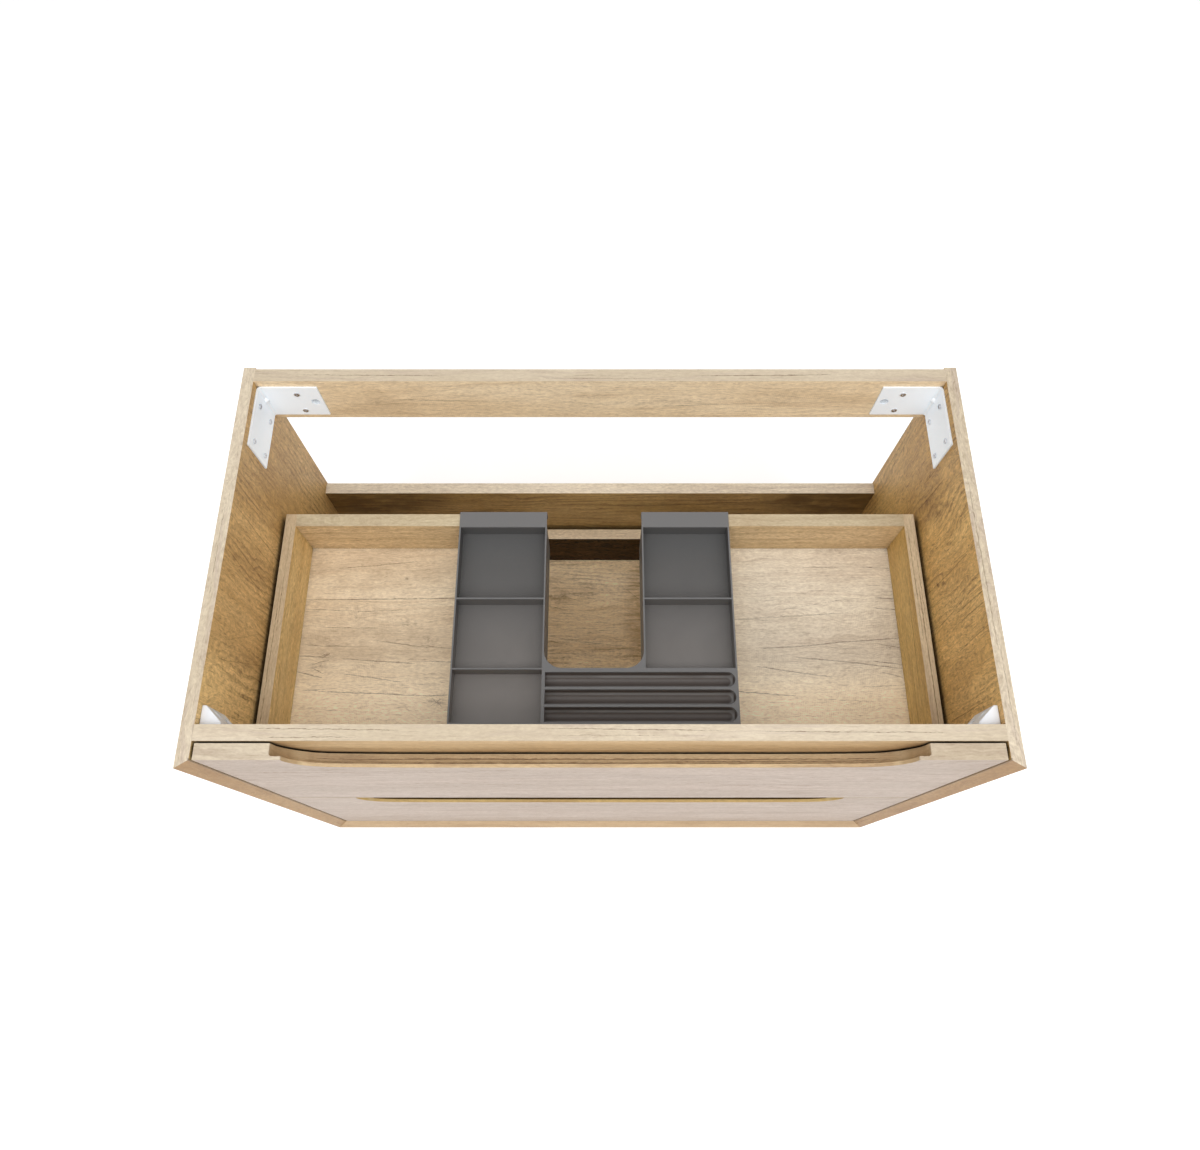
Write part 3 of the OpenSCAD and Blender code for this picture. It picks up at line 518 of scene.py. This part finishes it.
# its inner face is painted lighter towards the front and darker towards the back: painted light and shade
M["side_panel_left"] = oak(
    "oak_side_left", "x", "z", 1.0, GOLD, PALE, fold=(-215.3, 387.9), tint_and_light_ramps=(("v", 40.0, 120.0, 0.0, 0.4, lin(180, 142, 80)), ("v", -150.0, -70.0, 0.6, 0.0, lin(250, 216, 150))), front_band=("y", BEVEL), ring=0.13, ring_amount=0.32, contrast=1.3, saw=1.8, swirl=1.7, grit=1.5,
    depth_of_cracks=0.5,
    cracks=((540, 55.4, 396, 46.0, 1.15, 2.0), (556, 20.4, 408, 3.2, 0.9, 3.0), (556, 5.8, 392, -12.0, 0.9, 3.0), (525, 26.0, 408, 13.4, 0.7, 3.0),
            (518, 40.0, 392, 30.4, 0.8, 3.0), (490, 13.8, 408, 3.0, 0.7, 3.0), (512, -110.0, 405, -85.7, 0.7, 4.0), (512, -89.5, 420, -52.0, 0.55, 4.0),
            (380, 150, 300, 144, 0.8, 3.0), (300, -60, 130, -52, 0.9, 3.0)),
    knots=((525, -69, 5, 3, 0.7), (515, -2, 5, 3, 0.5), (470, 10, 5, 3, 0.4), (485, -67, 34, 26, 0.28), (250, 60, 14, 8, 0.8)),
    stains_and_shadows=((430, 130, 70, 75, 0.55), (430, -96, 60, 16, 0.5), (470, 20, 90, 30, 0.35), (380, -170, 130, 40, 0.4), (330, 100, 120, 60, 0.3)),
    band_cracks=((-60, -394.6, 60, -394.2, 0.4, 0.8),))
# its inner face is painted darker towards the back: painted shade
M["side_panel_right"] = oak(
    "oak_side_right", "x", "z", 2.0, PALE, GOLD_RIGHT, fold=(-215.3, 387.9), tint_and_light_ramps=(("v", 50.0, 125.0, 0.0, 0.5, lin(180, 140, 76)),), tones_plus=False, front_band=("y", BEVEL), ring=0.12, ring_amount=0.28, contrast=1.55, saw=1.8, swirl=1.9, grit=1.6,
    depth_of_cracks=0.6,
    cracks=((494, 106.0, 415, 108.5, 1.1, 1.5), (476, 128.2, 440, 129.4, 0.9, 1.0), (500, 101.0, 470, 87.0, 0.7, 1.5), (535, 3.6, 398, 0.8, 1.0, 2.5),
            (552, -46.4, 470, -46.2, 1.0, 2.0), (552, -57.5, 482, -58.3, 0.9, 2.0), (552, -82.0, 460, -87.0, 0.9, 2.5), (500, -37.8, 408, -47.0, 0.7, 2.5),
            (505, -151.9, 420, -153.4, 1.2, 2.0), (545, 4.4, 482, 7.4, 0.6, 2.0), (320, 60, 150, 70, 0.9, 3.0)),
    knots=((466, 77, 10, 4, 1.0), (498, 30, 9, 9, 0.5), (446, 90, 30, 22, 0.3), (456, -116, 40, 30, 0.25), (230, -90, 14, 9, 0.7)),
    stains_and_shadows=((430, 130, 70, 75, 0.6), (440, -120, 90, 40, 0.35), (455, 60, 60, 40, 0.3), (470, -20, 60, 60, 0.25)),
    band_cracks=((-110, 392.6, 84, 391.4, 0.6, 0.8), (-205, 395, -90, 394.6, 0.35, 0.8)))
M["bottom_panel"] = oak("oak_bottom", "z", "x", 3.0, WARM, PALE, band=BAND, front_band=("y", BEVEL_LOW), ring=0.05, ring_amount=0.2,
                        cracks=((-330, 60, -60, 74, 0.9, 5), (40, -40, 330, -62, 0.9, 5), (-250, -150, 10, -140, 0.7, 5)),
                        knots=((120, 60, 26, 12, 0.7), (-200, -30, 18, 9, 0.6)))
M["front_top_rail"] = oak("oak_front_rail", "y", "x", 4.0, RAIL, RAIL_FRONT, ring=0.11, ring_amount=0.2,
                          band_cracks=((-330, -187, -190, -188.5, 0.5, 1.0), (-60, -187, 120, -189, 0.5, 1.0), (-40, -194, 60, -193.6, 0.3, 1.0),
                                       (-330, -196, -230, -195, 0.35, 1.0), (150, -190, 330, -191, 0.45, 1.2)))
M["back_top_rail"] = oak("oak_back_rail", "y", "x", 5.0, WARM, RAIL, ring=0.1, ring_amount=0.14, saw=1.3,
                         cracks=((-250, 505, -150, 502, 0.5, 2), (60, 492, 200, 497, 0.5, 3)), knots=((-262, 500, 14, 8, 0.35), (210, 500, 20, 9, 0.3)),
                         stains_and_shadows=((-262, 490, 60, 26, 0.3), (230, 506, 90, 20, 0.25)),
                         band_cracks=((-340, 213.6, -180, 212.5, 0.5, 1.0), (110, 212, 260, 213.5, 0.75, 1.0), (-60, 209, 60, 208.5, 0.3, 1.0)))
M["lower_back_panel"] = oak("oak_lower_back", "y", "x", 6.0, WARM, DEEP, band=LOW_BAND, ring=0.09, ring_amount=0.3, contrast=1.6,
                            cracks=((-300, 255, 0, 250, 0.8, 3), (60, 240, 330, 246, 0.8, 4)),
                            stains_and_shadows=((-345, 262, 135, 60, 0.95), (350, 262, 125, 60, 0.95)))
M["upper_front"] = oak("oak_upper_front", "y", "x", 7.0, PALE, FRONT, band=FRONT_BAND, low_band=(470.0, 537.0, LIP, 495.0, 0.02), ring=0.05, ring_amount=0.10, contrast=1.25, lanes=0.5, saw=0.4,
                       hair=0.8, cracks=((-250, 470, -90, 466, 0.45, 3), (100, 384, 300, 388, 0.45, 3)), stains_and_shadows=((-130, 478, 60, 7, 0.3), (40, 440, 200, 14, 0.25)),
                       # the full-length dark line at -210.9 on the top edge is a painted shadow behind the lip; the
                       # others are cracks
                       band_cracks=((-285, -206.6, 285, -206.2, 1.0, 0.8), (-285, -210.9, 285, -211.1, 1.5, 0.5), (60, -208.6, 290, -208.2, 0.6, 1.0), (-200, -205.6, -60, -205.9, 0.6, 1.0)))
M["lower_front"] = oak("oak_lower_front", "y", "x", 8.0, PALE, FRONT, band=FRONT_BAND, closed=(303.0, 381.0), low_band=(205.0, 274.0, LIP_LOW, 232.0, 0.9), ring=0.05, ring_amount=0.10, contrast=1.25, lanes=0.5, saw=0.4,
                       hair=0.8, cracks=((-300, 190, -140, 194, 0.45, 3), (100, 120, 300, 114, 0.45, 3)), stains_and_shadows=((-80, 210, 200, 16, 0.25),))
# the front of the floor is painted lighter where the front rail shades it: painted light; a faint cool tint goes
# towards +x
M["upper_floor"] = oak("oak_upper_floor", "z", "x", 9.0, FLOOR, PALE, band=PALE, tint_and_light_ramps=(("u", 110.0, 210.0, 0.0, 0.15, lin(216, 240, 255)), ("v", -120.0, -55.0, 1.0, 0.0, lin(255, 237, 206))), ring=0.11, ring_amount=0.07, contrast=1.05, saw=1.8, depth_of_cracks=0.66,
                       cracks=floor_cracks, knots=floor_knots, stains_and_shadows=floor_stains)
M["lower_floor"] = oak("oak_lower_floor", "z", "x", 10.0, LOWER, PALE, band=PALE,
                       ring=0.16, ring_amount=0.42, contrast=1.5, saw=2.2, grit=0.8, depth_of_cracks=0.62,
                       cracks=((-90, 108, -50, 95.0, 0.7, 2), (42, 132, 74, 105.0, 0.8, 2), (-53, 118, -30, 112, 0.6, 2), (-90, 49, -50, 40.5, 0.7, 2),
                               (-55, 47.8, 40, 37.5, 0.7, 2), (-20, 31.6, 60, 35, 0.8, 2), (-63, 127.6, 0, 114, 0.45, 3), (80, -10, 300, 0, 0.8, 4),
                               (-330, -90, -120, -100, 0.8, 5), (-200, 20, -110, 24, 0.8, 4)),
                       # the patch at (84, 92) is a painted shadow falling across the floor
                       knots=((-66, 112, 14, 7, 0.5), (200, -70, 20, 10, 0.7)), stains_and_shadows=((84, 92, 50, 112, 0.72), (-60, 130, 60, 30, 0.3)))
M["upper_side_left"] = oak("oak_upper_wall_left", "x", "y", 11.0, WALL, WARM, band=BOX_BAND, contrast=1.5, grit=1.2, ring=0.07, ring_amount=0.12, lanes=0.4, hair=0.6, saw=0.3,
                           band_cracks=((-185, -378, 10, -377, 0.5, 1.0), (-60, -374.5, 90, -374, 0.3, 1.0)))
M["upper_side_right"] = oak("oak_upper_wall_right", "x", "y", 12.0, WARM, WALL_RIGHT, band=BOX_BAND, contrast=1.5, grit=1.2, ring=0.07, ring_amount=0.12, lanes=0.4, hair=0.6, saw=0.3,
                            cracks=((-110, 388, 30, 396, 0.9, 2), (-150, 372, -60, 376, 0.5, 2)),
                            band_cracks=((-190, 377, 10, 376, 0.75, 1.0), (-60, 373, 90, 372.5, 0.5, 1.0), (-40, 379, 80, 378.6, 0.4, 1.0)))
M["upper_back_left"] = oak("oak_upper_back_left", "y", "x", 13.0, WARM, BACK, band=BACK_BAND, contrast=1.5, grit=1.2, ring=0.07, ring_amount=0.12, lanes=0.4, hair=0.6, saw=0.3)
M["upper_back_right"] = oak("oak_upper_back_right", "y", "x", 14.0, WARM, BACK, band=BACK_BAND, contrast=1.5, grit=1.2, ring=0.07, ring_amount=0.12, lanes=0.4, hair=0.6, saw=0.3)
M["lower_side_left"] = oak("oak_lower_wall_left", "x", "y", 15.0, GOLD, WARM, ring=0.07, ring_amount=0.16)
M["lower_side_right"] = oak("oak_lower_wall_right", "x", "y", 16.0, WARM, GOLD, ring=0.07, ring_amount=0.16)
# the drawer's back wall is painted dark brown as shade while the cabinet is closed, and golden when the drawer is
# pulled out
M["lower_back"] = oak("oak_lower_box_back", "y", "x", 17.0, WARM, CLOSED_CABINET_SHADE, shade_when_closed=(GOLD, 0.6, 0.18, 0.42), gloss=0.08, band=FLOOR_BAND, ring=0.07, ring_amount=0.18, contrast=1.9)

# painted light on the white fittings: a faint bluish glow, though they are no lamp; their holes and inside corners get
# painted shade, their arrises a painted highlight
white_steel = plastic("white_powder_coat", lin(245, 250, 255), lin(240, 246, 253), rough=0.42, grain=1.1, bump=0.00009,
                      strength=0.45, edge=lin(250, 251, 252), corner=lin(120, 118, 116), Emission_Color=(0.82, 0.92, 1.0, 1.0), Emission_Strength=0.12)
white_plastic = plastic("white_moulded", lin(242, 244, 248), lin(232, 236, 242), rough=0.4, grain=2.0, edge=lin(249, 250, 252))
tray_mat = plastic("tray_grey_moulded", lin(125, 120, 116), lin(118, 113, 109), rough=0.44, grain=1.9, bump=0.00005,
                   strength=0.55, edge=lin(150, 149, 148), far=lin(77, 77, 77),
                   zones=(((-400, -400, 409), (400, 400, 460), lin(108, 108, 109)), ((-65, -160, 300), (162, -93, 408), lin(74, 65, 60))))
grey_mat = plastic("catch_grey_moulded", lin(92, 93, 97), lin(82, 83, 87), rough=0.45, edge=lin(120, 121, 124))
cage_mat = plastic("cage_moulded", lin(212, 209, 198), lin(200, 196, 184), rough=0.42, edge=lin(226, 224, 216))
buffer_mat = plastic("buffer_clear", lin(232, 231, 226), lin(222, 221, 216), rough=0.22, grain=0.8, Transmission_Weight=0.45)
zinc_mat = metal("zinc_plated", (0.80, 0.80, 0.82, 1), (0.58, 0.59, 0.62, 1), rough=0.34, streak=(0.6, 0.6, 0.6))
galv_mat = metal("galvanised_sheet", (0.62, 0.63, 0.65, 1), (0.50, 0.52, 0.55, 1), rough=0.36, streak=(1.1, 0.015, 1.1), spangle=0.35)


def beech():
    g = Graph("beech_turned")
    x, y, z = g.mm()
    rays = g.step(g.noise(g.xyz(g.mul(x, 0.35), g.mul(y, 1.4), g.mul(z, 1.4)), 1.0, 2.0, 0.5), 0.55, 0.7)
    grain = g.noise(g.xyz(g.mul(x, 0.08), g.mul(y, 0.9), g.mul(z, 0.9)), 1.0, 3.0, 0.6)
    col = g.mixc(g.step(grain, 0.3, 0.7), lin(222, 188, 144), lin(206, 168, 122))
    col = g.mixc(g.mul(rays, 0.4), col, lin(176, 132, 88))
    return g.finish(col, g.mad(grain, 0.2, 0.45), g.bump(grain, 0.00008, 0.5))


beech_mat = beech()
BY_SLOT = {"beech": beech_mat, "white_steel": white_steel, "white_plastic": white_plastic, "clear_buffer": buffer_mat,
           "tray_plastic": tray_mat, "grey_plastic": grey_mat, "cage_plastic": cage_mat, "zinc": zinc_mat, "galvanised": galv_mat}

# ---------------------------------------------------------------- finish on the CAD nodes

SLOT_OF = {row["node"]: row["material_slot"] for row in frame["record"]["subparts"]}
BOARD_ARRIS = 0.0006
ARRIS = {"white_steel": 0.0004, "white_plastic": 0.0009, "tray_plastic": 0.0004, "grey_plastic": 0.0004, "cage_plastic": 0.0003,
         "zinc": 0.0002, "galvanised": 0.00025, "beech": 0.0004, "clear_buffer": 0.0003}


def soften(obj, width, segments=2):
    w = obj.modifiers.new("join_seams", "WELD")
    w.merge_threshold = 0.00001
    b = obj.modifiers.new("arris", "BEVEL")
    b.width = width
    b.segments = segments
    b.limit_method = "ANGLE"
    b.angle_limit = math.radians(32)
    b.harden_normals = False
    b.use_clamp_overlap = True
    n = obj.modifiers.new("even_normals", "WEIGHTED_NORMAL")
    n.keep_sharp = False
    n.weight = 60


for name, obj in NODES.items():
    if name in M:
        mat, width = M[name], BOARD_ARRIS
    else:
        mat, width = BY_SLOT[SLOT_OF[name]], ARRIS[SLOT_OF[name]]
    obj.data.materials.clear()
    obj.data.materials.append(mat)
    soften(obj, width)

# ---------------------------------------------------------------- floor, lights


def floor_plane():
    bm = bmesh.new()
    bmesh.ops.create_grid(bm, x_segments=24, y_segments=24, size=9.0)
    me = bpy.data.meshes.new("floor")
    bm.to_mesh(me)
    bm.free()
    obj = bpy.data.objects.new("floor", me)
    obj.location = (0.0, 0.0, -0.001)
    bpy.context.scene.collection.objects.link(obj)
    g = Graph("studio_floor")
    x, y, z = g.mm()
    n = g.noise(g.xyz(x, y, z), 0.004, 3.0, 0.5)
    col = g.mixc(n, (0.90, 0.90, 0.90, 1), (0.94, 0.94, 0.94, 1))
    obj.data.materials.append(g.finish(col, g.mad(n, 0.1, 0.75), None, Emission_Color=(1.0, 1.0, 1.0, 1.0), Emission_Strength=0.32))
    return obj


floor_plane()


def area(name, loc, target, size, energy, color=(1, 1, 1)):
    d = bpy.data.lights.new(name, "AREA")
    d.shape = "RECTANGLE"
    d.size, d.size_y = size
    d.energy = energy
    d.color = color
    o = bpy.data.objects.new(name, d)
    o.location = loc
    o.rotation_euler = (Vector(target) - Vector(loc)).to_track_quat("-Z", "Y").to_euler()
    bpy.context.scene.collection.objects.link(o)
    return o


area("front_softbox", (0.1, -2.4, 3.2), (0.0, 0.0, 0.4), (3.2, 2.8), 80.0)
area("overhead_softbox", (0.0, -0.5, 3.3), (0.0, 0.0, 0.3), (2.4, 1.6), 22.0)
area("left_softbox", (-2.6, -0.3, 3.0), (0.0, 0.0, 0.4), (2.2, 2.2), 22.0)
area("right_softbox", (2.6, -0.3, 3.0), (0.0, 0.0, 0.4), (2.2, 2.2), 23.0)

world = bpy.data.worlds.new("studio")
world.use_nodes = True
bg = world.node_tree.nodes["Background"]
bg.inputs["Color"].default_value = (1.0, 1.0, 1.0, 1.0)
bg.inputs["Strength"].default_value = 0.38
bpy.context.scene.world = world
bpy.context.scene.view_settings.view_transform = "Standard"
bpy.context.scene.view_settings.look = "None"
